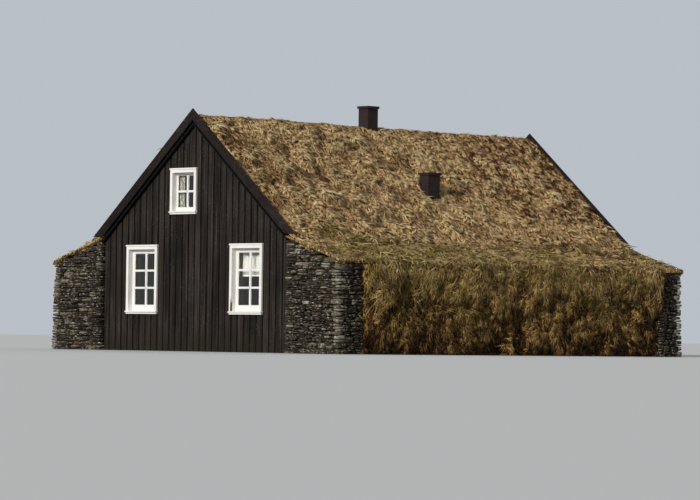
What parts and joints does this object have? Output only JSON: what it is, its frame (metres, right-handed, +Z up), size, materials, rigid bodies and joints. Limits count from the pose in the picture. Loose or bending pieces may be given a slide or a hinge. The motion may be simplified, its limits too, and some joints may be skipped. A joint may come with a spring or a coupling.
{
  "type": "turf house",
  "caption": "House with boarded timber gables, thick turf flank walls with dry stone corners, a steep turf roof, small paned windows and two square chimneys.",
  "frame": {"origin": "on the ground, at the middle of the footprint", "axes": "+Y along the ridge from the front gable to the back gable, +X to the right across the front gable, +Z up"},
  "size_m": [9.8816, 11.76, 5.9097],
  "materials": {
    "tarred_boards": "rough tarred boards, weathered",
    "white_paint": "white painted wood, matt",
    "window_glass": "plain thin glass",
    "field_stone": "dry laid flat stones with lichen",
    "wall_turf": "living turf, rough grass, olive and brown",
    "cap_turf": "grass mat, tan and orange brown",
    "roof_turf": "dry tufted grass, tan brown",
    "chimney_black": "black painted sheet, matt",
    "window_cloth": "plain off white cotton",
    "bare_wood": "plain sawn wood"
  },
  "bodies": {
    "root": {"front_gable_wall": "tarred_boards", "back_gable_wall": "tarred_boards", "left_side_wall": "bare_wood", "right_side_wall": "bare_wood", "left_turf_wall": "wall_turf", "right_turf_wall": "wall_turf", "front_left_corner": "field_stone", "front_right_corner": "field_stone", "back_left_corner": "field_stone", "back_right_corner": "field_stone", "left_turf_cap": "cap_turf", "right_turf_cap": "cap_turf", "left_roof_turf": "roof_turf", "right_roof_turf": "roof_turf", "left_roof_deck": "bare_wood", "right_roof_deck": "bare_wood", "rafters": "bare_wood", "ridge_beam": "bare_wood", "front_left_barge_board": "tarred_boards", "front_right_barge_board": "tarred_boards", "back_left_barge_board": "tarred_boards", "back_right_barge_board": "tarred_boards", "ridge_chimney": "chimney_black", "ridge_chimney_cap": "chimney_black", "slope_chimney": "chimney_black", "slope_chimney_cap": "chimney_black", "ground_floor": "bare_wood", "loft_joists": "bare_wood", "loft_floor": "bare_wood", "front_left_window_casing": "white_paint", "front_left_window_sash": "white_paint", "front_right_window_casing": "white_paint", "front_right_window_sash": "white_paint", "front_loft_window_casing": "white_paint", "front_loft_window_sash": "white_paint", "front_window_glass": "window_glass", "back_left_window_casing": "white_paint", "back_left_window_sash": "white_paint", "back_right_window_casing": "white_paint", "back_right_window_sash": "white_paint", "back_loft_window_casing": "white_paint", "back_loft_window_sash": "white_paint", "back_window_glass": "window_glass", "front_right_window_blind": "window_cloth", "front_loft_window_curtain": "window_cloth"}
  },
  "joints": []
}
